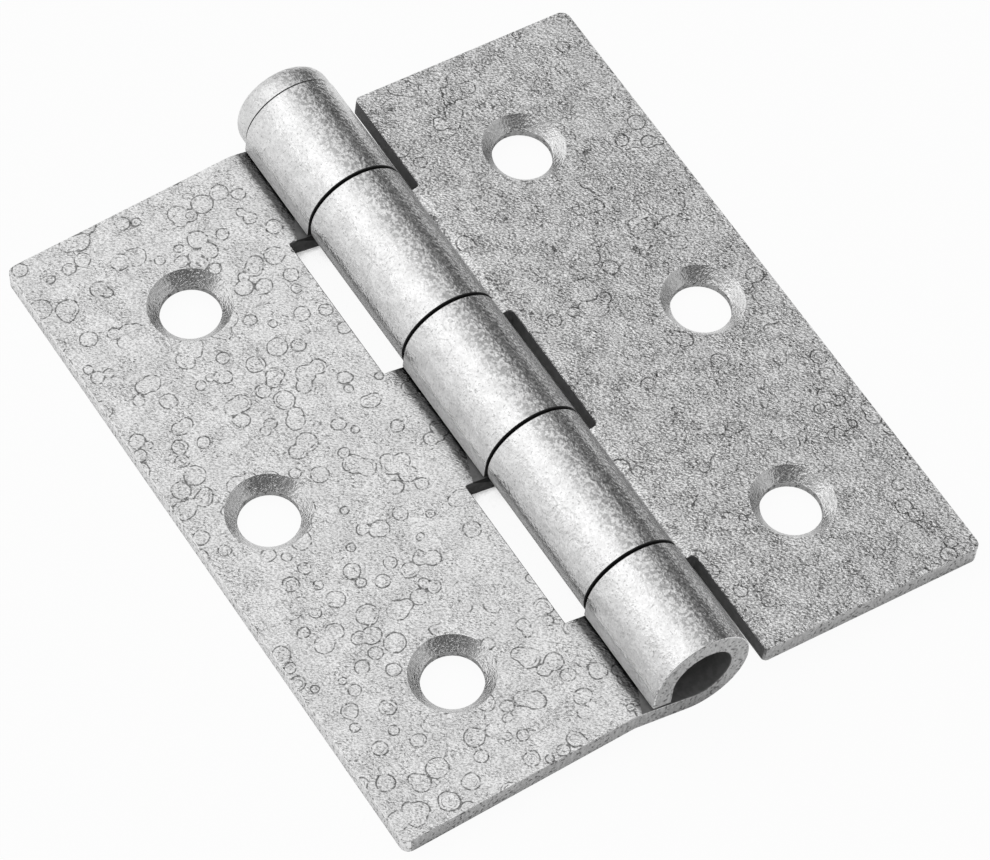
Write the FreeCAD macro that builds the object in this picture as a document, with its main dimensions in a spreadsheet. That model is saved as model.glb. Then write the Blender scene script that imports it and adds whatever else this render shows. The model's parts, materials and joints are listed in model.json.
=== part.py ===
"""A broad butt hinge with a loose pin, 3 by 2 5/8 inches open, in millimetres.

Two leaves of steel sheet are blanked, swaged and rolled into knuckles that interleave on one pin. The first
leaf has three knuckles and lies towards -X, the second has two and lies towards +X. The hinge lies open and
face up on a flat surface, as it comes to rest: on the underside of its row of knuckles and on the outer edges
of both leaves, so each leaf slopes down a few degrees from the pin. The origin is on that surface, in the
middle of the hinge's footprint. The pin runs along Y, with its head at the +Y end, and +Z is up.
"""
import FreeCAD, Part
import os
from math import cos, radians, sin

import Sketcher
from FreeCAD import Placement, Rotation, Vector

SIZES = {
    "leaf_length": 76.2,  # along the pin
    "leaf_reach": 33.3,  # from the pin's axis to the outer edge of a leaf
    "gauge": 2.1,  # thickness of the steel sheet
    "face_drop": 1.22,  # from the pin's axis down to the face of a flat leaf
    "corner_radius": 1.0,  # outer corners of a leaf
    "edge_break": 0.08,  # chamfer that tumbling leaves on the sheared edges
    "pin_diameter": 6.35,
    "pin_play": 0.075,  # radial clearance of the pin in the knuckles
    "inner_joint": 7.8,  # from mid length to the joint beside the middle knuckle
    "outer_joint": 25.6,  # from mid length to the joint beside an end knuckle
    "joint_gap": 0.3,  # between the ends of two neighbouring knuckles
    "slot_reach": 7.65,  # from the pin's axis to the bottom of a slot between knuckles
    "slot_corner": 0.15,  # radius in the corners of the slots of the leaf with three knuckles
    "notch_corner": 0.5,  # radius in the corners of the slot and end notches of the leaf with two
    "swage_reach": 7.8,  # from the pin's axis to where the flat leaf ends and the swage begins
    "swage_radius": 1.5,  # of the bend there, on the back of the leaf
    "tip_gap": 0.3,  # between the cut tip of the rolled sheet and the leaf below it
    "tip_lean": 6.0,  # degrees by which the last, unbent stretch of the sheet leans out to that tip
    "screw_diameter": 6.3,  # through holes
    "sink_diameter": 8.7,  # countersinks, on the face of a leaf
    "sink_angle": 82.0,
    "outer_screw_reach": 19.77,  # from the pin's axis to the two outer screw holes
    "outer_screw_spacing": 49.5,
    "middle_screw_reach": 25.44,
    "head_diameter": 10.5,
    "head_height": 3.0,
    "head_rounding": 1.7,
    "head_seat": 0.05,  # between the head and the end of the first knuckle
    "pin_recess": 4.5,  # from the last knuckle's end in to the lower end of the pin
    "pin_point": 0.8,  # chamfer on the lower end of the pin
}


def lean(reach, depth, drop):
    """Expression for the slope of a line from reach out and depth down that passes drop below the axis."""
    return f"(asin({drop} / sqrt({reach} ^ 2 + {depth} ^ 2)) - atan2({depth}; {reach}))"


# Sizes that follow from the sheet's cells: the bore and the outside of a knuckle, the back of a flat leaf,
# its bend on the face side, and where the knuckles end on either side of each joint between them.
BORE = "(sizes.pin_diameter / 2 + sizes.pin_play)"
BARREL = f"({BORE} + sizes.gauge)"
BACK_DROP = "(sizes.face_drop + sizes.gauge)"
FACE_BEND = "(sizes.swage_radius + sizes.gauge)"
INNER_NEAR = "(sizes.inner_joint - sizes.joint_gap / 2)"
INNER_FAR = "(sizes.inner_joint + sizes.joint_gap / 2)"
OUTER_NEAR = "(sizes.outer_joint - sizes.joint_gap / 2)"
OUTER_FAR = "(sizes.outer_joint + sizes.joint_gap / 2)"
LEAF_END = "(sizes.leaf_length / 2)"
HEAD_SEAT = f"({LEAF_END} + sizes.head_seat)"


# The lean of a leaf at rest: the back of its outer edge comes down to the level of the barrel's underside.
LEAF_LEAN = lean("(sizes.leaf_reach - sizes.edge_break)", BACK_DROP, BARREL)

# The slope of the swage, whose back runs from the bend at the end of the flat leaf to the barrel's underside.
SWAGE_SLOPE = lean("sizes.swage_reach", f"({BACK_DROP} + sizes.swage_radius)",
                   f"({BARREL} + sizes.swage_radius)")

START, END, CENTRE = range(1, 4)  # the points of a sketch's line or arc
ACROSS_AXIS, UPRIGHT_AXIS = range(-1, -3, -1)  # a sketch's own axes, which cross at the start of the first
SAME = 0.001  # two places no further apart than this are one

doc = FreeCAD.newDocument("broad_butt_hinge")
sheet = doc.addObject("Spreadsheet::Sheet", "sizes")
for row, (alias, value) in enumerate(SIZES.items(), start=1):
    sheet.set(f"A{row}", alias)
    sheet.set(f"B{row}", str(value))
    sheet.setAlias(f"B{row}", alias)
doc.recompute()


def number(expression):
    """The value of an expression of the sheet's cells, in millimetres or degrees."""
    return FreeCAD.Units.Quantity(sheet.evalExpression(expression)).Value


def new_sketch(body, name, plane, turn=0):
    """An empty sketch on the XY or XZ plane of its body. A turn of 180 faces it towards -X."""
    sketch = body.newObject("Sketcher::SketchObject", name)
    origin_plane = next(item for item in body.Origin.OriginFeatures if item.Role == f"{plane}_Plane")
    upright = Vector(0, 0, 1) if plane == "XY" else Vector(0, 1, 0)
    sketch.AttachmentSupport = (origin_plane, [""])
    sketch.MapMode = "FlatFace"
    sketch.AttachmentOffset = Placement(Vector(0, 0, 0), Rotation(upright, turn))
    return sketch


def line(start, end):
    """A straight line between two points."""
    return Part.LineSegment(Vector(*start), Vector(*end))


def arc(centre, radius, first, last):
    """Part of a circle, anticlockwise from the first angle to the last, in degrees."""
    circle = Part.Circle(Vector(*centre), Vector(0, 0, 1), radius)
    return Part.ArcOfCircle(circle, radians(first), radians(last))


def dimension(sketch, name, expression, kind, *where):
    """A named size or angle in the sketch, bound to the sheet."""
    value = radians(number(expression)) if kind == "Angle" else number(expression)
    index = sketch.addConstraint(Sketcher.Constraint(kind, *where, value))
    sketch.renameConstraint(index, name)
    sketch.setExpression(f"Constraints.{name}", expression)


def join(sketch, kind, *pairs):
    """Ties pairs of end points, each as (line, its point, next line, its point), coincident or tangent."""
    for pair in pairs:
        sketch.addConstraint(Sketcher.Constraint(kind, *pair))


def pick(feature, wanted):
    """The feature with the names of its edges that are wanted, for a fillet or chamfer."""
    doc.recompute()
    names = [f"Edge{n}" for n, edge in enumerate(feature.Shape.Edges, start=1) if wanted(edge)]
    return (feature, names)


def dress(body, kind, name, size, base, wanted):
    """Rounds or chamfers the wanted edges of the feature before it."""
    feature = body.newObject(f"PartDesign::{kind}", name)
    feature.Base = pick(base, wanted)
    feature.setExpression("Radius" if kind == "Fillet" else "Size", size)
    return feature


def is_round(edge, radius):
    """Is the edge a circle, or part of one, of this radius?"""
    return isinstance(edge.Curve, Part.Circle) and abs(edge.Curve.Radius - number(radius)) < SAME


def leaf_section(body, turn):
    """The section across the pin: a flat leaf, the swage that drops it under the barrel, and the curl."""
    bore, barrel, bend = number(BORE), number(BARREL), number("sizes.swage_radius")
    face, back, reach = -number("sizes.face_drop"), -number(BACK_DROP), number("sizes.leaf_reach")
    bend_x, bend_z = number("sizes.swage_reach"), back - bend
    swage = number(SWAGE_SLOPE)
    tip_lean = number("sizes.tip_lean")
    rise, run = sin(radians(swage)), cos(radians(swage))
    out, down = sin(radians(tip_lean)), cos(radians(tip_lean))

    def on_swage(radius, centre=(0, 0)):
        return (centre[0] - radius * rise, centre[1] + radius * run, 0)

    def tip_start(radius):
        return (radius * down, radius * out, 0)

    def tip_corner(radius):
        slant = radians(tip_lean - swage)
        length = (radius * sin(slant) + bore - number("sizes.tip_gap")) / cos(slant)
        return (radius * down + length * out, radius * out - length * down, 0)

    sketch = new_sketch(body, "section", "XZ", turn)
    outline = {
        "back": line((reach, back, 0), (bend_x, back, 0)),
        "back_bend": arc((bend_x, bend_z, 0), bend, 90, 90 + swage),
        "swage_back": line(on_swage(bend, (bend_x, bend_z)), on_swage(-barrel)),
        "outside": arc((0, 0, 0), barrel, tip_lean, 270 + swage),
        "tip_outside": line(tip_start(barrel), tip_corner(barrel)),
        "tip": line(tip_corner(barrel), tip_corner(bore)),
        "tip_inside": line(tip_corner(bore), tip_start(bore)),
        "inside": arc((0, 0, 0), bore, tip_lean, 270 + swage),
        "swage_face": line(on_swage(-bore), on_swage(number(FACE_BEND), (bend_x, bend_z))),
        "face_bend": arc((bend_x, bend_z, 0), number(FACE_BEND), 90, 90 + swage),
        "face": line((bend_x, face, 0), (reach, face, 0)),
        "edge": line((reach, face, 0), (reach, back, 0)),
    }
    sketch.addGeometry(list(outline.values()), False)
    part = {name: index for index, name in enumerate(outline)}
    join(sketch, "Tangent",
         (part["back"], END, part["back_bend"], START),
         (part["back_bend"], END, part["swage_back"], START),
         (part["swage_back"], END, part["outside"], END),
         (part["outside"], START, part["tip_outside"], START),
         (part["tip_inside"], END, part["inside"], START),
         (part["inside"], END, part["swage_face"], START),
         (part["swage_face"], END, part["face_bend"], END),
         (part["face_bend"], START, part["face"], START))
    join(sketch, "Coincident",
         (part["tip_outside"], END, part["tip"], START),
         (part["tip"], END, part["tip_inside"], START),
         (part["face"], END, part["edge"], START),
         (part["edge"], END, part["back"], START),
         (part["outside"], CENTRE, ACROSS_AXIS, START),
         (part["inside"], CENTRE, ACROSS_AXIS, START),
         (part["face_bend"], CENTRE, part["back_bend"], CENTRE))
    for name, kind in (("back", "Horizontal"), ("face", "Horizontal"), ("edge", "Vertical")):
        sketch.addConstraint(Sketcher.Constraint(kind, part[name]))
    sketch.addConstraint(Sketcher.Constraint("Parallel", part["tip"], part["swage_face"]))
    sketch.addConstraint(Sketcher.Constraint("Parallel", part["tip_inside"], part["tip_outside"]))
    dimension(sketch, "bore", BORE, "Radius", part["inside"])
    dimension(sketch, "barrel", BARREL, "Radius", part["outside"])
    dimension(sketch, "swage_radius", "sizes.swage_radius", "Radius", part["back_bend"])
    dimension(sketch, "swage_reach", "sizes.swage_reach", "DistanceX", part["back_bend"], CENTRE)
    dimension(sketch, "leaf_reach", "sizes.leaf_reach", "DistanceX", part["edge"], END)
    dimension(sketch, "face", "-sizes.face_drop", "DistanceY", part["face"], END)
    dimension(sketch, "back", f"-{BACK_DROP}", "DistanceY", part["back"], START)
    dimension(sketch, "tip_gap", "sizes.tip_gap", "Distance", part["tip"], END, part["swage_face"])
    dimension(sketch, "tip_lean", "sizes.tip_lean * 1 deg - 90 deg", "Angle", part["tip_outside"])
    return sketch


def slot_sketch(body, slots, turn, rounding):
    """Slots between knuckles, each from one place along the pin to another, with round bottom corners."""
    sketch = new_sketch(body, "slot_outlines", "XY", turn)
    reach, corner = number("sizes.slot_reach"), number(rounding)
    for count, (low, high) in enumerate(slots):
        near, far = number(low), number(high)
        outline = [
            line((-reach, near, 0), (reach - corner, near, 0)),
            arc((reach - corner, near + corner, 0), corner, 270, 360),
            line((reach, near + corner, 0), (reach, far - corner, 0)),
            arc((reach - corner, far - corner, 0), corner, 0, 90),
            line((reach - corner, far, 0), (-reach, far, 0)),
            line((-reach, far, 0), (-reach, near, 0)),
        ]
        begin, first_corner, bottom, last_corner, end, mouth = sketch.addGeometry(outline, False)
        join(sketch, "Tangent", (begin, END, first_corner, START), (first_corner, END, bottom, START),
             (bottom, END, last_corner, START), (last_corner, END, end, START))
        join(sketch, "Coincident", (end, END, mouth, START), (mouth, END, begin, START))
        for side in (begin, end):
            sketch.addConstraint(Sketcher.Constraint("Horizontal", side))
        for side in (bottom, mouth):
            sketch.addConstraint(Sketcher.Constraint("Vertical", side))
        dimension(sketch, f"mouth_{count}", "-sizes.slot_reach", "DistanceX", mouth, END)
        dimension(sketch, f"bottom_{count}", "sizes.slot_reach", "DistanceX", bottom, START)
        dimension(sketch, f"low_{count}", low, "DistanceY", mouth, END)
        dimension(sketch, f"high_{count}", high, "DistanceY", mouth, START)
        dimension(sketch, f"first_corner_{count}", rounding, "Radius", first_corner)
        dimension(sketch, f"last_corner_{count}", rounding, "Radius", last_corner)
    return sketch


def screw_sketch(body, turn):
    """The three screw holes, on the face of the leaf: two in line, and the middle one further out."""
    sketch = new_sketch(body, "screw_centres", "XY", turn)
    sketch.setExpression("AttachmentOffset.Base.z", "-sizes.face_drop")
    radius = "(sizes.screw_diameter / 2)"
    places = (("sizes.outer_screw_reach", "-sizes.outer_screw_spacing / 2"),
              ("sizes.middle_screw_reach", "0"),
              ("sizes.outer_screw_reach", "sizes.outer_screw_spacing / 2"))
    for count, (across, along) in enumerate(places):
        centre = Vector(number(across), number(along), 0)
        circle = sketch.addGeometry(Part.Circle(centre, Vector(0, 0, 1), number(radius)), False)
        dimension(sketch, f"radius_{count}", radius, "Radius", circle)
        dimension(sketch, f"across_{count}", across, "DistanceX", circle, CENTRE)
        if along == "0":
            sketch.addConstraint(Sketcher.Constraint("PointOnObject", circle, CENTRE, ACROSS_AXIS))
        else:
            dimension(sketch, f"along_{count}", along, "DistanceY", circle, CENTRE)
    return sketch


def make_leaf(label, slots, turn, ends_notched):
    """A leaf: rolled section, slots for the other's knuckles, broken edges and countersunk screw holes."""
    body = doc.addObject("PartDesign::Body", label)
    body.Label = label
    rolled = body.newObject("PartDesign::Pad", "rolled_sheet")
    rolled.Profile = leaf_section(body, turn)
    rolled.setExpression("Length", "sizes.leaf_length")
    rolled.SideType = "Symmetric"
    notched = body.newObject("PartDesign::Pocket", "slots")
    rounding = "sizes.notch_corner" if ends_notched else "sizes.slot_corner"
    notched.Profile = slot_sketch(body, slots, turn, rounding)
    notched.Type = "ThroughAll"
    notched.SideType = "Symmetric"

    def upright(edge, reach):
        box = edge.BoundBox
        return max(box.XLength, box.YLength) < SAME and abs(abs(box.Center.x) - number(reach)) < SAME

    def crosswise(edge):
        return edge.BoundBox.YLength < SAME < edge.BoundBox.XLength

    def at_end(edge):
        return abs(abs(edge.BoundBox.Center.y) - number(LEAF_END)) < SAME

    last = dress(body, "Fillet", "outer_corners", "sizes.corner_radius", notched,
                 lambda edge: upright(edge, "sizes.leaf_reach"))
    if ends_notched:
        last = dress(body, "Fillet", "notch_corners", rounding, last,
                     lambda edge: upright(edge, "sizes.slot_reach") and at_end(edge))
    dress(body, "Chamfer", "broken_edges", "sizes.edge_break", last, crosswise)
    centres = screw_sketch(body, turn)
    doc.recompute()
    screws = body.newObject("PartDesign::Hole", "screw_holes")
    screws.Profile = centres
    screws.DepthType = "ThroughAll"
    screws.HoleCutType = "Countersink"
    screws.HoleCutCustomValues = True
    screws.setExpression("Diameter", "sizes.screw_diameter")
    screws.setExpression("HoleCutDiameter", "sizes.sink_diameter")
    screws.setExpression("HoleCutCountersinkAngle", "sizes.sink_angle")
    body.Tip = screws
    lie(body, -1 if turn else 1)
    return body


def make_pin():
    """The loose pin: a straight shank, chamfered at its lower end, and a low head with a rounded rim."""
    body = doc.addObject("PartDesign::Body", "hinge_pin")
    body.Label = "hinge_pin"
    low, seat, top = f"(sizes.pin_recess - {LEAF_END})", HEAD_SEAT, f"({HEAD_SEAT} + sizes.head_height)"
    shank, rim = "(sizes.pin_diameter / 2)", "(sizes.head_diameter / 2)"
    corners = [("0", top), ("0", low), (shank, low), (shank, seat), (rim, seat), (rim, top)]
    places = [(number(across), number(along), 0) for across, along in corners]
    count = len(corners)
    sketch = new_sketch(body, "half_section", "XY")
    sketch.addGeometry([line(places[n], places[(n + 1) % count]) for n in range(count)], False)
    join(sketch, "Coincident", *[(n, END, (n + 1) % count, START) for n in range(count)])
    for n in range(count):
        sketch.addConstraint(Sketcher.Constraint("Horizontal" if n % 2 else "Vertical", n))
    sketch.addConstraint(Sketcher.Constraint("PointOnObject", 0, START, UPRIGHT_AXIS))
    dimension(sketch, "shank", shank, "DistanceX", 2, START)
    dimension(sketch, "rim", rim, "DistanceX", 4, END)
    dimension(sketch, "low", low, "DistanceY", 1, START)
    dimension(sketch, "seat", seat, "DistanceY", 3, START)
    dimension(sketch, "top", top, "DistanceY", 5, START)
    turned = body.newObject("PartDesign::Revolution", "turned")
    turned.Profile = sketch
    turned.ReferenceAxis = (sketch, ["V_Axis"])

    def is_rim(edge, radius, along):
        return is_round(edge, radius) and abs(edge.BoundBox.Center.y - number(along)) < SAME

    rounded = dress(body, "Fillet", "rounded_head", "sizes.head_rounding", turned,
                    lambda edge: is_rim(edge, rim, top))
    broken = dress(body, "Chamfer", "broken_rim", "sizes.edge_break", rounded,
                   lambda edge: is_rim(edge, rim, seat))
    dress(body, "Chamfer", "pin_point", "sizes.pin_point", broken,
          lambda edge: is_rim(edge, shank, low))
    lie(body, 0)
    return body


def lie(body, side):
    """Lays a piece with the barrel's underside on the surface, and leans a leaf down to its outer edge."""
    angle, along, up = f"{side} * {LEAF_LEAN}", "-(sizes.head_height + sizes.head_seat) / 2", BARREL
    body.Placement = Placement(Vector(0, number(along), number(up)), Rotation(Vector(0, 1, 0), number(angle)))
    body.setExpression("Placement.Base.y", along)
    body.setExpression("Placement.Base.z", up)
    if side:
        body.setExpression("Placement.Rotation.Angle", angle)


def check(bodies):
    """Stops if any object has failed, a cut took nothing away, or a body isn't one valid solid."""
    for item in doc.Objects:
        if {"Invalid", "Error"} & set(item.State):
            raise RuntimeError(f"{item.Label} has failed: {item.State}")
    for body in bodies:
        if body.Shape.isNull() or not body.Shape.isValid() or len(body.Shape.Solids) != 1:
            raise RuntimeError(f"{body.Label} isn't one valid solid")
        for feature in body.Group:
            base = getattr(feature, "BaseFeature", None)
            if base and not feature.Shape.Volume < base.Shape.Volume - SAME:
                raise RuntimeError(f"{feature.Label} of {body.Label} took nothing away")


# Where each leaf is slotted for the knuckles of the other. A notch at an end of the leaf runs out past it.
THREE_KNUCKLES = ((f"-{OUTER_FAR}", f"-{INNER_NEAR}"), (INNER_NEAR, OUTER_FAR))
TWO_KNUCKLES = (("-sizes.leaf_length", f"-{OUTER_NEAR}"), (f"-{INNER_FAR}", INNER_FAR),
                (OUTER_NEAR, "sizes.leaf_length"))
pieces = [
    make_leaf("three_knuckle_leaf", THREE_KNUCKLES, turn=180, ends_notched=False),
    make_leaf("two_knuckle_leaf", TWO_KNUCKLES, turn=0, ends_notched=True),
    make_pin(),
]
doc.recompute()
check(pieces)
os.makedirs("parts", exist_ok=True)
for piece in pieces:
    piece.Shape.exportStep(f"parts/{piece.Label}.step")
    print(piece.Label, round(piece.Shape.Volume), "mm3")
print("each leaf leans", round(number(LEAF_LEAN), 4), "degrees")
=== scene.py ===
import json
from math import hypot, radians

import bpy
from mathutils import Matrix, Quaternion, Vector

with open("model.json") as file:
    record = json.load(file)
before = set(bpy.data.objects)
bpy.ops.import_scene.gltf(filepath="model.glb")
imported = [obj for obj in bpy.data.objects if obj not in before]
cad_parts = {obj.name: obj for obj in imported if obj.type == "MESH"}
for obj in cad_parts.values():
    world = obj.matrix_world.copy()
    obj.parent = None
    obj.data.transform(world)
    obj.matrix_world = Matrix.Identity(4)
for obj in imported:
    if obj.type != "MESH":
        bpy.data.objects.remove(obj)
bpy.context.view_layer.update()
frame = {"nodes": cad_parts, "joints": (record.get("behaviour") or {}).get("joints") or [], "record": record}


# The leaf with three knuckles.
# It is blanked, swaged and rolled from steel sheet, then zinc plated. Its flat face is light and mottled,
# with the outlines of dried drops. Rolling has burnished the knuckles. The black and dark grey in the joints,
# the bore, the slots and under the curl's tip are painted shade.
def add(tree, kind, **settings):
    """A new node of this kind, with its properties set."""
    node = tree.nodes.new(kind)
    for name, value in settings.items():
        setattr(node, name, value)
    return node


def feed(tree, target, source):
    """Sets an input to a number or colour, or links it to another node's output."""
    if isinstance(source, bpy.types.NodeSocket):
        tree.links.new(source, target)
    else:
        target.default_value = source


def calc(tree, operation, *values):
    """The output of a Math node."""
    node = add(tree, "ShaderNodeMath", operation=operation)
    for socket, value in zip(node.inputs, values):
        feed(tree, socket, value)
    return node.outputs[0]


def product(tree, *values):
    """Several values multiplied together."""
    total = values[0]
    for value in values[1:]:
        total = calc(tree, "MULTIPLY", total, value)
    return total


def remap(tree, value, low, high, to_low=0.0, to_high=1.0):
    """A value between low and high, stretched smoothly to run between two others and held there."""
    node = add(tree, "ShaderNodeMapRange", interpolation_type="SMOOTHSTEP")
    ends = {"Value": value, "From Min": low, "From Max": high, "To Min": to_low, "To Max": to_high}
    for name, source in ends.items():
        feed(tree, node.inputs[name], source)
    return node.outputs[0]


def darker(tree, layer, depth):
    """What is left of the light where a layer of 0 to 1 takes away this share of it."""
    return remap(tree, layer, 0.0, 1.0, 1.0, 1.0 - depth)


def vector(tree, operation, first, second):
    """The output of a Vector Math node."""
    node = add(tree, "ShaderNodeVectorMath", operation=operation)
    feed(tree, node.inputs[0], first)
    feed(tree, node.inputs["Scale" if operation == "SCALE" else 1], second)
    return node.outputs[0]


def noise(tree, place, size, detail=2.0, roughness=0.5, shift=0.0):
    """Noise whose blotches are about this many millimetres across. Its shift sets it apart from others."""
    node = add(tree, "ShaderNodeTexNoise")
    feed(tree, node.inputs["Vector"], vector(tree, "ADD", place, (shift, shift, shift)) if shift else place)
    feed(tree, node.inputs["Scale"], 1.0 / size)
    feed(tree, node.inputs["Detail"], detail)
    feed(tree, node.inputs["Roughness"], roughness)
    return node


def blotches(tree, place, size, low, high, to_low=0.0, to_high=1.0, **how):
    """Noise whose levels between low and high, of about 0.3 to 0.7 in all, run between two others."""
    return remap(tree, noise(tree, place, size, **how).outputs["Fac"], low, high, to_low, to_high)


PER_MM = 1000.0  # places on a piece come in metres, and all sizes of patterns are in millimetres


def metal(name, roughness):
    """A new metal, as its material, its tree, its shader, and the place on the piece in millimetres."""
    material = bpy.data.materials.new(name)
    material.use_nodes = True
    tree = material.node_tree
    shader = tree.nodes["Principled BSDF"]
    shader.inputs["Metallic"].default_value = 1.0
    shader.inputs["Roughness"].default_value = roughness
    place = vector(tree, "SCALE", add(tree, "ShaderNodeTexCoord").outputs["Object"], PER_MM)
    return material, tree, shader, place


def coloured(tree, shader, grey, *layers):
    """A grey, darkened by the layers over it."""
    feed(tree, shader.inputs["Base Color"], vector(tree, "SCALE", (grey, grey, grey), product(tree, *layers)))


def roughened(tree, shader, height, depth):
    """Raises the surface by a height of 0 to 1 times a depth in millimetres."""
    bump = add(tree, "ShaderNodeBump")
    bump.inputs["Distance"].default_value = depth / PER_MM
    feed(tree, bump.inputs["Height"], height)
    feed(tree, shader.inputs["Normal"], bump.outputs["Normal"])


DROPS = ((4.2, 0.68), (4.5, 0.9), (5.2, 1.08))  # how far apart drops of one size lie, and their radius
DROP_SHIFT = 31.0  # from the pattern of one size of drop to that of the next
DROP_SOFTNESS = 0.12  # of the pattern that they come from
DROP_NECK = 0.35  # how softly two drops run together
DROP_FAR = 10.0  # a distance that is outside every drop
WOBBLE_SIZE, WOBBLE_DEPTH = 1.6, 0.4  # how uneven their outlines are
SWELL_SIZE, SWELL_LEAST, SWELL_MOST = 6.0, -0.26, 0.06  # what they gain in radius, from place to place


def drop_shores(tree, place):
    """How far a place lies outside the nearest dried drop, in millimetres. Drops that touch run together."""
    wobble = noise(tree, place, WOBBLE_SIZE, detail=1.0, shift=21.0).outputs["Color"]
    uneven = vector(tree, "ADD", place, vector(tree, "SCALE", wobble, WOBBLE_DEPTH))
    nearest = DROP_FAR
    for turn, (apart, radius) in enumerate(DROPS, start=1):
        drops = add(tree, "ShaderNodeTexVoronoi", voronoi_dimensions="2D", feature="SMOOTH_F1")
        shift = DROP_SHIFT * turn
        feed(tree, drops.inputs["Vector"], vector(tree, "ADD", uneven, (shift, shift, 0.0)))
        feed(tree, drops.inputs["Scale"], 1.0 / apart)
        feed(tree, drops.inputs["Smoothness"], DROP_SOFTNESS)
        outside = calc(tree, "MULTIPLY_ADD", drops.outputs["Distance"], apart, -radius)
        nearest = calc(tree, "SMOOTH_MIN", nearest, outside, DROP_NECK)
    swell = blotches(tree, place, SWELL_SIZE, 0.3, 0.7, SWELL_LEAST, SWELL_MOST, detail=0.0, shift=13.0)
    return calc(tree, "SUBTRACT", nearest, swell)


RING_CORE, RING_WIDTH = 0.046, 0.115  # from the middle of a ring's line to where it fades and where it ends
INNER_STEP, INNER_WIDTH = 0.32, 0.0805  # from a drop's outline to the fainter line that some have inside
BREAK_SIZE, BREAK_LEFT = 0.45, 0.25  # the breaks in the lines, and what is left of a line there
DOUBLED_SIZE = 2.2
COVER_SIZE, COVER_FADE = 7.0, 0.12  # stretches of the leaf that have drops, and how softly they end
SHORE_IN, SHORE_OUT = -0.2, 0.05  # from a drop's outline to where its inside begins and ends


def drop_rings(tree, place, cover):
    """Thin, broken outlines of the drops, some with a second line inside, and what lies inside them."""
    outside = drop_shores(tree, place)
    shore = remap(tree, calc(tree, "ABSOLUTE", outside), RING_CORE, RING_WIDTH, 1.0, 0.0)
    from_inner = calc(tree, "ABSOLUTE", calc(tree, "ADD", outside, INNER_STEP))
    doubled = blotches(tree, place, DOUBLED_SIZE, 0.52, 0.6, shift=17.0)
    inner = product(tree, remap(tree, from_inner, 0.0, INNER_WIDTH, 1.0, 0.0), doubled)
    broken = blotches(tree, place, BREAK_SIZE, 0.38, 0.56, BREAK_LEFT, detail=3.0, roughness=0.6, shift=5.0)
    covered = blotches(tree, place, COVER_SIZE, cover, cover + COVER_FADE, detail=1.0, shift=29.0)
    lines = product(tree, broken, covered, calc(tree, "MAXIMUM", shore, inner))
    return lines, product(tree, covered, remap(tree, outside, SHORE_IN, SHORE_OUT, 1.0, 0.0))


COURSE_SIZE, COURSE_DRAWN = 5.0, (1.0, 0.6, 1.0)  # the course of the creases, drawn out along the pin
CREASE_CORE, CREASE_WIDTH = 0.003, 0.01  # from its middle to where a crease fades and ends, in levels of noise
STRETCH_SIZE, GAP_SIZE = 3.2, 0.3  # stretches that have creases, and the gaps in them


def creases(tree, place):
    """Fine, wandering, broken lines."""
    drawn = vector(tree, "MULTIPLY", place, COURSE_DRAWN)
    course = noise(tree, drawn, COURSE_SIZE, detail=3.0, roughness=0.6, shift=41.0).outputs["Fac"]
    from_middle = calc(tree, "ABSOLUTE", calc(tree, "SUBTRACT", course, 0.5))
    return product(tree, remap(tree, from_middle, CREASE_CORE, CREASE_WIDTH, 1.0, 0.0),
                   blotches(tree, place, STRETCH_SIZE, 0.46, 0.58, detail=1.0, shift=43.0),
                   blotches(tree, place, GAP_SIZE, 0.4, 0.5, detail=1.0, shift=47.0))


axis_height = frame["joints"][0]["pos_m"][2]
CURL_SHADE_BLACK, CURL_DARK, CURL_END = 0.03, 5.5, 5.7  # painted shade inside the curl, and how far out from the pin that reaches
SWAGE_SHADE, SWAGE_SHADE_REACH, SWAGE_SHADE_END = 0.26, 6.5, 7.0  # painted shade on the swage's slope beside the curl, in the same way
SWAGE_SHADE_EDGE_SIZE, SWAGE_SHADE_EDGE_DEPTH = 0.4, 0.7  # how uneven its edge is


def reach_of(tree, place):
    """How far a place is from the pin's axis, in millimetres."""
    from_axis = vector(tree, "SUBTRACT", place, (0.0, 0.0, axis_height * PER_MM))
    length = add(tree, "ShaderNodeVectorMath", operation="LENGTH")
    feed(tree, length.inputs[0], vector(tree, "MULTIPLY", from_axis, (1.0, 0.0, 1.0)))
    return length.outputs["Value"]


def painted_curl_shade(tree, place):
    """Painted shade: black inside the curl, and darker on the swage's slope beside it."""
    rough = noise(tree, place, SWAGE_SHADE_EDGE_SIZE, detail=3.0, shift=33.0).outputs["Fac"]
    reach = reach_of(tree, place)
    uneven = calc(tree, "ADD", reach, calc(tree, "MULTIPLY_ADD", rough, SWAGE_SHADE_EDGE_DEPTH, -SWAGE_SHADE_EDGE_DEPTH / 2))
    return product(tree, remap(tree, reach, CURL_DARK, CURL_END, CURL_SHADE_BLACK, 1.0),
                   remap(tree, uneven, SWAGE_SHADE_REACH, SWAGE_SHADE_END, SWAGE_SHADE, 1.0))


GRAIN_TURN = radians(53)  # the zinc's grain is finer this way, turned from +X, and longer square to it
GRAIN_FINE, GRAIN_LONG = 0.66, 1.25
GRAIN_SIZE = 0.2
CLOUD_SIZE, CLOUD_DEPTH = 3.0, 0.1
SPECK_SIZE, SPECK_FAINT = 0.26, 0.55  # and how dark a speck is outside the patches below
PATCH_SIZE = 2.2  # patches where specks are at their darkest and the orange peel at its deepest
PEEL_LEAST, PEEL_MOST = 0.6, 1.2  # shares of the peel's depth outside and inside them
PEEL_IN_DROPS = 0.75


def lengthened(tree, place):
    """The place, squeezed and drawn out so that a grain laid over it runs longer one way than the other."""
    node = add(tree, "ShaderNodeMapping", vector_type="TEXTURE")
    feed(tree, node.inputs["Vector"], place)
    node.inputs["Rotation"].default_value = (0.0, 0.0, GRAIN_TURN)
    node.inputs["Scale"].default_value = (GRAIN_FINE, GRAIN_LONG, 1.0)
    return node.outputs[0]


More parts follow.
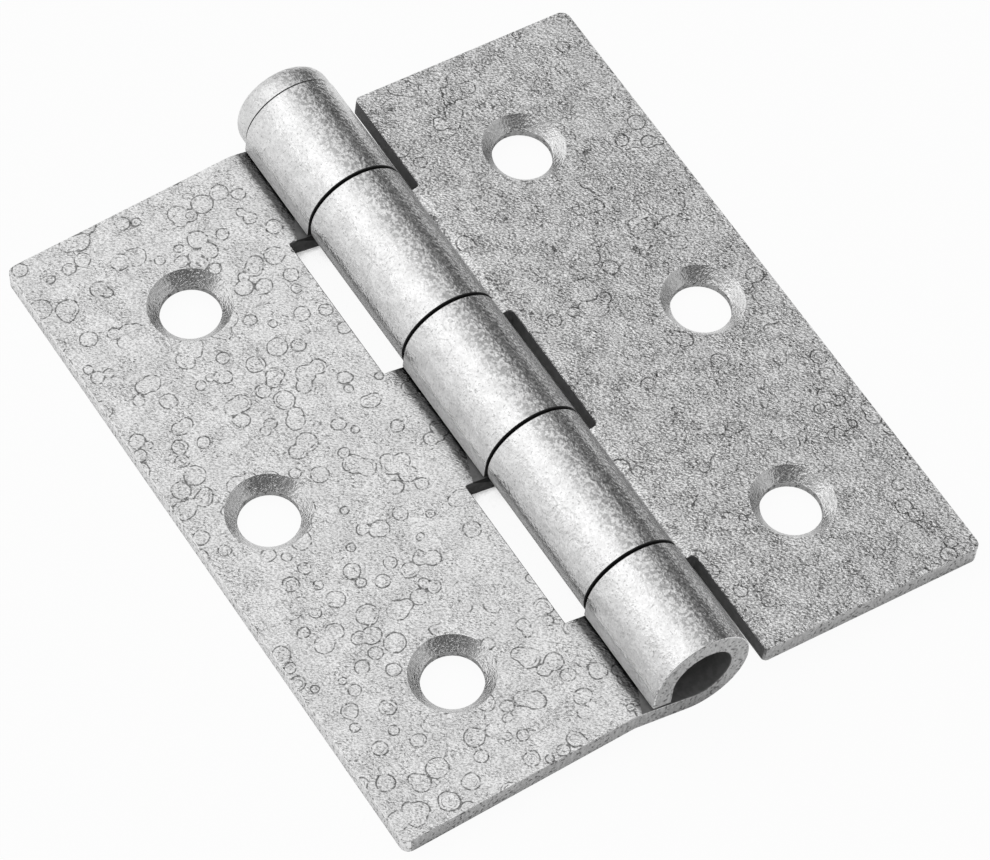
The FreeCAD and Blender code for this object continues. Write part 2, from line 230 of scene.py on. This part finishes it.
def flat_zinc(name, grey, roughness, mottling, speckled, ring_depth, ring_cover, peel_size, peel_depth,
              crease_depth=0.0):
    """Zinc on the flat of a leaf: mottled and specked, with drop outlines, creases and an orange peel."""
    material, tree, shader, place = metal(name, roughness)
    grained = lengthened(tree, place)
    rings, inside = drop_rings(tree, place, ring_cover)
    patch = blotches(tree, place, PATCH_SIZE, 0.4, 0.6, shift=19.0)
    specks = blotches(tree, grained, SPECK_SIZE, 0.55, 0.66, shift=3.0)
    specked = product(tree, specks, remap(tree, patch, 0.0, 1.0, SPECK_FAINT, 1.0))
    layers = [
        blotches(tree, grained, GRAIN_SIZE, 0.3, 0.6, 1.0 - mottling, 1.0, roughness=0.6),
        blotches(tree, place, CLOUD_SIZE, 0.35, 0.65, 1.0 - CLOUD_DEPTH, 1.0, detail=3.0, shift=9.0),
        calc(tree, "MULTIPLY_ADD", specked, -speckled, 1.0),
        darker(tree, rings, ring_depth),
        # painted shade inside the curl and on the slope beside it
        painted_curl_shade(tree, place),
    ]
    if crease_depth:
        layers.append(darker(tree, creases(tree, place), crease_depth))
    coloured(tree, shader, grey, *layers)
    peel = noise(tree, grained, peel_size, roughness=0.55, shift=7.0).outputs["Fac"]
    height = product(tree, calc(tree, "SUBTRACT", peel, 0.5),
                     remap(tree, patch, 0.0, 1.0, PEEL_LEAST, PEEL_MOST),
                     remap(tree, inside, 0.0, 1.0, 1.0, PEEL_IN_DROPS))
    roughened(tree, shader, height, peel_depth)
    return material


BARREL_REACH = 0.0059  # a little more than from the pin's axis to the outside of a knuckle
HIGHLIGHT_STRIP_MIDDLE = 10.4  # around the barrel from its top, to the strip beside the curl's end that is less metallic as a painted highlight
HIGHLIGHT_STRIP_FULL, HIGHLIGHT_STRIP_END = 0.6, 2.2  # from the strip's middle to where it fades, and to where it ends
SHADE_FLECK_SIZE = 0.36
SHADE_FLECKS_BEGIN, SHADE_FLECKS_THICK, SHADE_FLECKS_THIN, SHADE_FLECKS_END = -2.8, 0.6, 3.5, 6.0  # painted shade flecks on one side of the barrel: where they begin, are thickest, thin out and end, around the barrel from its top
BRIGHT_CLOUD_SIZE, BRIGHT_SPECK_SIZE = 1.6, 0.24
BRIGHT_COVER = 0.5  # the level of the noise where drops begin


def unrolled(tree, place):
    """The place on the sheet before it was rolled, and how far that is around the barrel from its top."""
    parts = add(tree, "ShaderNodeSeparateXYZ")
    feed(tree, parts.inputs[0], place)
    across, along, up = parts.outputs
    turn = calc(tree, "ARCTAN2", across, calc(tree, "SUBTRACT", up, axis_height * PER_MM))
    around = calc(tree, "MULTIPLY", turn, BARREL_REACH * PER_MM)
    flat = add(tree, "ShaderNodeCombineXYZ")
    feed(tree, flat.inputs[0], around)
    feed(tree, flat.inputs[1], along)
    return flat.outputs[0], around


def rolled_zinc(name, grey, roughness, grain_size, grain_depth, ring_depth=0.0, shade_fleck_depth=0.0, painted_highlight=0.0):
    """Zinc on the knuckles and the pin's head: burnished bright, with fine specks and a shallow grain. Dark
    flecks on one side are painted shade, and a less metallic strip is a painted highlight.
    """
    material, tree, shader, place = metal(name, roughness)
    sheet, around = unrolled(tree, place)
    grain = noise(tree, place, grain_size, roughness=0.6).outputs["Fac"]
    layers = [
        remap(tree, grain, 0.32, 0.68, 0.9, 1.04),
        blotches(tree, place, BRIGHT_CLOUD_SIZE, 0.35, 0.65, 0.93, 1.03, shift=9.0),
        blotches(tree, place, BRIGHT_SPECK_SIZE, 0.6, 0.7, 1.0, 0.65, shift=3.0),
    ]
    if ring_depth:
        layers.append(darker(tree, drop_rings(tree, sheet, BRIGHT_COVER)[0], ring_depth))
    # painted shade: dark flecks over one side, from near the top round towards the two-knuckle leaf
    if shade_fleck_depth:
        flecks = blotches(tree, place, SHADE_FLECK_SIZE, 0.42, 0.58, detail=3.0, roughness=0.6, shift=51.0)
        shade_flecks = product(tree, flecks, remap(tree, around, SHADE_FLECKS_BEGIN, SHADE_FLECKS_THICK),
                         remap(tree, around, SHADE_FLECKS_THIN, SHADE_FLECKS_END, 1.0, 0.0))
        layers.append(darker(tree, shade_flecks, shade_fleck_depth))
    coloured(tree, shader, grey, *layers)
    # painted highlight: a less metallic strip beside the curl's end, which catches the lamp's light
    if painted_highlight:
        beside = calc(tree, "SUBTRACT", calc(tree, "ABSOLUTE", around), HIGHLIGHT_STRIP_MIDDLE)
        from_middle = calc(tree, "ABSOLUTE", beside)
        feed(tree, shader.inputs["Metallic"], remap(tree, from_middle, HIGHLIGHT_STRIP_FULL, HIGHLIGHT_STRIP_END, 1.0 - painted_highlight, 1.0))
    roughened(tree, shader, grain, grain_depth)
    return material


STREAK_SIZE, STREAK_DRAWN = 0.3, (1.0, 1.0, 0.3)  # the marks of the shears, and which way they are drawn out
TEAR_SIZE, TEAR_DEPTH = 0.35, 0.06


def sheared(name, grey, roughness):
    """The cut edge of the sheet: upright drag marks and dark torn specks."""
    material, tree, shader, place = metal(name, roughness)
    drawn = vector(tree, "MULTIPLY", place, STREAK_DRAWN)
    torn = noise(tree, place, TEAR_SIZE, shift=4.0).outputs["Fac"]
    coloured(tree, shader, grey, blotches(tree, drawn, STREAK_SIZE, 0.3, 0.7, 0.85, 1.12),
             remap(tree, torn, 0.54, 0.66, 1.0, 0.35))
    roughened(tree, shader, torn, TEAR_DEPTH)
    return material


SHADE_BLOTCH_SIZE, SHADE_ROUGHNESS = 0.6, 0.6


def painted_shade_material(name, grey):
    """Painted shade: a dark, dull grey for gaps, bores and slots that light hardly reaches."""
    material, tree, shader, place = metal(name, SHADE_ROUGHNESS)
    shader.inputs["Metallic"].default_value = 0.0
    coloured(tree, shader, grey, blotches(tree, place, SHADE_BLOTCH_SIZE, 0.3, 0.7, 0.85, 1.15))
    return material


# Where the kinds of surface lie on a leaf: how far from the pin's axis each reaches, and which way it looks.
BORE_REACH = 0.0042
TIP_REACH = 0.0052
SLOT_REACH = 0.0081
OUTER_REACH = 0.031
SINK_REACH = 0.0046  # from the middle of a screw hole
LEAF_END = 0.0379  # from mid length
LOOKS = 0.5  # a face looks along an axis where its normal has this much of it
SQUARELY = 0.95  # and squarely, with this much
INTO_BORE, OFF_TIP, OFF_BARREL = 0.3, -0.9, -0.8  # how much a face there looks towards the pin or away
SINK_STEEPEST, RIM_STEEPEST, RIM_FLATTEST = 0.5, 0.8, 0.97  # how much a countersink and its rim look up
BROKEN_FLATTEST = 0.9  # and how much a broken edge does
mid_length = frame["joints"][0]["pos_m"][1]
screw_holes = [(Vector(hole["box_m"][0]) + Vector(hole["box_m"][1])) / 2
               for hole in frame["record"]["physics"]["openings"]]
FACE, ROLL, EDGE, BLACK_SHADED, SINK, RIM, DARK_SHADED = range(7)


def kind_of(place, normal):
    """Which of the kinds of surface a small face of a leaf has."""
    reach = hypot(place.x, place.z - axis_height)
    inward = -(normal.x * place.x + normal.z * (place.z - axis_height)) / reach
    at_end = abs(place.y - mid_length) > LEAF_END
    at_head = at_end and place.y > mid_length
    crosswise = abs(normal.y) > LOOKS
    upright = abs(normal.z) < LOOKS
    in_sink = any((place - hole).xy.length < SINK_REACH for hole in screw_holes)
    # Painted shade: the bore and the slots' walls get dark grey, and the joints and the curl's tip get black.
    if reach < BORE_REACH and inward > INTO_BORE:
        return DARK_SHADED
    if reach < TIP_REACH and normal.z < -LOOKS and inward > OFF_TIP and not crosswise:
        return BLACK_SHADED
    if crosswise and (at_head or not at_end) and reach < BARREL_REACH:
        return BLACK_SHADED
    if not at_end and reach < SLOT_REACH and (crosswise or upright and reach > BARREL_REACH):
        return DARK_SHADED
    if abs(normal.y) > SQUARELY:
        return EDGE
    if reach < BARREL_REACH and inward < OFF_BARREL:
        return ROLL
    if upright and BARREL_REACH < reach < SLOT_REACH:
        return DARK_SHADED
    if upright and reach > SLOT_REACH:
        return RIM if reach > OUTER_REACH else EDGE
    if in_sink and SINK_STEEPEST < normal.z < RIM_FLATTEST:
        return SINK if normal.z < RIM_STEEPEST else RIM
    if abs(normal.z) < BROKEN_FLATTEST and (crosswise or reach > SLOT_REACH):
        return RIM
    return FACE


light_zinc = flat_zinc("light_zinc", grey=0.94, roughness=0.33, mottling=0.46, speckled=0.6, ring_depth=0.7,
                       ring_cover=0.28, peel_size=0.28, peel_depth=0.12)
bright_zinc = rolled_zinc("rolled_zinc", grey=0.84, roughness=0.25, grain_size=0.4, grain_depth=0.09,
                          ring_depth=0.16, shade_fleck_depth=0.45, painted_highlight=0.9)
edge_zinc = sheared("sheared_zinc", grey=0.56, roughness=0.5)
# painted shade: black for the joints between knuckles, the head's seam and under the curl's tip
black_shade_steel = painted_shade_material("black_shade_steel", grey=0.03)
sink_zinc = rolled_zinc("countersunk_zinc", grey=0.9, roughness=0.12, grain_size=0.3, grain_depth=0.08)
# painted highlight: a lighter copy of the sheared finish for the outer edges, the broken edges and the
# countersinks' rims
rim_highlight_zinc = sheared("lit_edge_zinc", grey=0.97, roughness=0.5)
# painted shade: dark grey for the bore and the walls of the slots
dark_shade_steel = painted_shade_material("dark_shade_steel", grey=0.16)


def finish_leaf(name, face_zinc):
    """Gives each small face of a leaf the finish of its kind."""
    leaf = frame["nodes"][name]
    leaf.data.materials.clear()
    for material in (face_zinc, bright_zinc, edge_zinc, black_shade_steel, sink_zinc, rim_highlight_zinc, dark_shade_steel):
        leaf.data.materials.append(material)
    for face in leaf.data.polygons:
        face.material_index = kind_of(face.center, face.normal)


finish_leaf("three_knuckle_leaf", light_zinc)


# The leaf with two knuckles.
# It is made and plated like the first, from the same sheet, but its zinc came out duller and rougher, like
# orange peel, with a few fine creases and fewer drops.
dull_zinc = flat_zinc("dull_zinc", grey=0.98, roughness=0.25, mottling=0.72, speckled=0.72, ring_depth=0.75,
                      ring_cover=0.5, peel_size=0.3, peel_depth=0.17, crease_depth=0.7)
finish_leaf("two_knuckle_leaf", dull_zinc)


# The loose pin.
# It is cut from round steel wire, and its low, rounded head is upset and plated. The shank is bare steel,
# which shows when the pin is drawn out, and the joint under the head has painted black shade.
HEAD_SEAM = 0.0004  # how far up the head's rim the painted shade of the joint reaches
ON_HEAD, ON_SHANK, IN_SEAM = range(3)

# The head has the same painted shade flecks on one side as the barrel.
head_zinc = rolled_zinc("head_zinc", grey=0.8, roughness=0.28, grain_size=0.42, grain_depth=0.12,
                        shade_fleck_depth=0.4)
wire_steel = rolled_zinc("wire_steel", grey=0.45, roughness=0.35, grain_size=0.4, grain_depth=0.03)
pin = frame["nodes"]["hinge_pin"]
pin.data.materials.clear()
for material in (head_zinc, wire_steel, black_shade_steel):
    pin.data.materials.append(material)
for face in pin.data.polygons:
    up = face.center.y - mid_length - LEAF_END
    face.material_index = ON_SHANK if up < 0.0 else IN_SEAM if up < HEAD_SEAM else ON_HEAD


# The studio.
# The hinge lies on a pale floor in a light tent, brightest above and behind it to the left, where a wide soft
# lamp is. The near side is open to a duller room with a pale panel and a dark wall.
FLOOR_SIZE = 6.0
FLOOR_GREY, FLOOR_ROUGHNESS = 0.8, 0.9
FLOOR_WHITE = 0.95  # how much of the floor's white is its own when it is looked at
FLOOR_MIRRORED = 0.75  # and how much of that the metal mirrors
OPEN_SAMPLES, OPEN_REACH = 24, 0.02  # the floor is white where the room around it is open this far
SEEN_SHUT, SEEN_OPEN = 0.03, 0.09  # how open it is where it is black and white to look at
MIRRORED_SHUT, MIRRORED_OPEN = 0.4, 0.95  # and where it is so in the metal
LIGHT_SIDE = Vector((-0.45, 0.45, 0.77))  # from the hinge towards the brightest part of the tent
LAMP_DISTANCE, LAMP_SIZE, LAMP_POWER = 1.0, 0.8, 0.64
TENT_DIM, TENT_LIGHT = 0.13, 0.93
TENT_SPREAD = (0.12, 0.68)  # how nearly a direction points to that side where the tent is dim, and light
NEAR_LIGHT, NEAR_SPREAD = 0.36, (-0.25, 0.2)  # the near side's room, and where along Y it is full and ends
PANEL_SIDE = Vector((0.604, -0.754, 0.26))  # from the hinge towards the pale panel
PANEL_LIGHT, PANEL_EDGE = 0.5, (0.94, 0.965)  # its edge fades where directions point this nearly
WALL_SIDE = Vector((-0.54, -0.72, 0.435))  # from the hinge towards the dark wall
WALL_DARK, WALL_EDGE, WALL_TOP = 0.68, (0.48, 0.56), (0.5, 0.65)  # the same, and how high it reaches

bpy.ops.mesh.primitive_plane_add(size=FLOOR_SIZE)
floor = bpy.context.object
floor.name = "studio_floor"
pale = bpy.data.materials.new("studio_floor")
pale.use_nodes = True
tree = pale.node_tree
cloth = tree.nodes["Principled BSDF"]
cloth.inputs["Base Color"].default_value = (FLOOR_GREY, FLOOR_GREY, FLOOR_GREY, 1.0)
cloth.inputs["Roughness"].default_value = FLOOR_ROUGHNESS
cloth.inputs["Specular IOR Level"].default_value = 0.0
glow = add(tree, "ShaderNodeEmission")
rays = add(tree, "ShaderNodeLightPath")
openness = add(tree, "ShaderNodeAmbientOcclusion", samples=OPEN_SAMPLES)
openness.inputs["Distance"].default_value = OPEN_REACH
seen = product(tree, rays.outputs["Is Camera Ray"], remap(tree, openness.outputs["AO"], SEEN_SHUT, SEEN_OPEN))
mirrored = product(tree, rays.outputs["Is Glossy Ray"],
                   remap(tree, openness.outputs["AO"], MIRRORED_SHUT, MIRRORED_OPEN, 0.0, FLOOR_MIRRORED))
mixed = add(tree, "ShaderNodeMixShader")
feed(tree, mixed.inputs[0], product(tree, calc(tree, "MAXIMUM", seen, mirrored), FLOOR_WHITE))
feed(tree, mixed.inputs[1], cloth.outputs[0])
feed(tree, mixed.inputs[2], glow.outputs[0])
feed(tree, tree.nodes["Material Output"].inputs["Surface"], mixed.outputs[0])
floor.data.materials.append(pale)

lamp = bpy.data.lights.new("soft_lamp", "AREA")
lamp.size = LAMP_SIZE
lamp.energy = LAMP_POWER
lamp_object = bpy.data.objects.new("soft_lamp", lamp)
lamp_object.location = LIGHT_SIDE * LAMP_DISTANCE
lamp_object.rotation_mode = "QUATERNION"
lamp_object.rotation_quaternion = (-LIGHT_SIDE).to_track_quat("-Z", "Y")
bpy.context.scene.collection.objects.link(lamp_object)

world = bpy.data.worlds.new("room")
bpy.context.scene.world = world
world.use_nodes = True
tree = world.node_tree
rays = add(tree, "ShaderNodeLightPath")
direction = add(tree, "ShaderNodeTexCoord").outputs["Generated"]
parts = add(tree, "ShaderNodeSeparateXYZ")
feed(tree, parts.inputs[0], direction)
towards_far, upwards = parts.outputs["Y"], parts.outputs["Z"]


def towards(side):
    """How nearly a direction points to this side: 1 where it does."""
    node = add(tree, "ShaderNodeVectorMath", operation="DOT_PRODUCT")
    feed(tree, node.inputs[0], direction)
    feed(tree, node.inputs[1], side)
    return node.outputs["Value"]


tent = remap(tree, towards(LIGHT_SIDE), *TENT_SPREAD, TENT_DIM, TENT_LIGHT)
near_room = remap(tree, towards_far, *NEAR_SPREAD, NEAR_LIGHT, 0.0)
wall = product(tree, remap(tree, towards(WALL_SIDE), *WALL_EDGE, 0.0, WALL_DARK),
               remap(tree, upwards, *WALL_TOP, 1.0, 0.0))
walled = product(tree, calc(tree, "MAXIMUM", tent, near_room), calc(tree, "SUBTRACT", 1.0, wall))
panel = remap(tree, towards(PANEL_SIDE), *PANEL_EDGE, 0.0, PANEL_LIGHT)
lit = calc(tree, "MAXIMUM", walled, panel)
background = tree.nodes["Background"]
background.inputs["Color"].default_value = (1.0, 1.0, 1.0, 1.0)
feed(tree, background.inputs["Strength"], calc(tree, "MAXIMUM", lit, rays.outputs["Is Camera Ray"]))
bpy.context.scene.view_settings.view_transform = "Standard"


# The camera.
# A long lens from a long way off, high over the near end of the first leaf, tipped a little to the left.
CAMERA_PLACE = Vector((-0.18897, -0.25518, 0.4702))
CAMERA_AIM = Vector((-0.00212, -0.00574, 0.005))
CAMERA_ROLL = radians(5.73)
LENS, SENSOR = 208.06, 36.0
CLIP_NEAR, CLIP_FAR = 0.01, 20.0

camera = bpy.data.cameras.new("camera")
camera.sensor_width = SENSOR
camera.lens = LENS
camera.clip_start, camera.clip_end = CLIP_NEAR, CLIP_FAR
camera_object = bpy.data.objects.new("camera", camera)
camera_object.location = CAMERA_PLACE
camera_object.rotation_mode = "QUATERNION"
level = (CAMERA_AIM - CAMERA_PLACE).to_track_quat("-Z", "Y")
camera_object.rotation_quaternion = level @ Quaternion((0, 0, 1), CAMERA_ROLL)
bpy.context.scene.collection.objects.link(camera_object)
bpy.context.scene.camera = camera_object
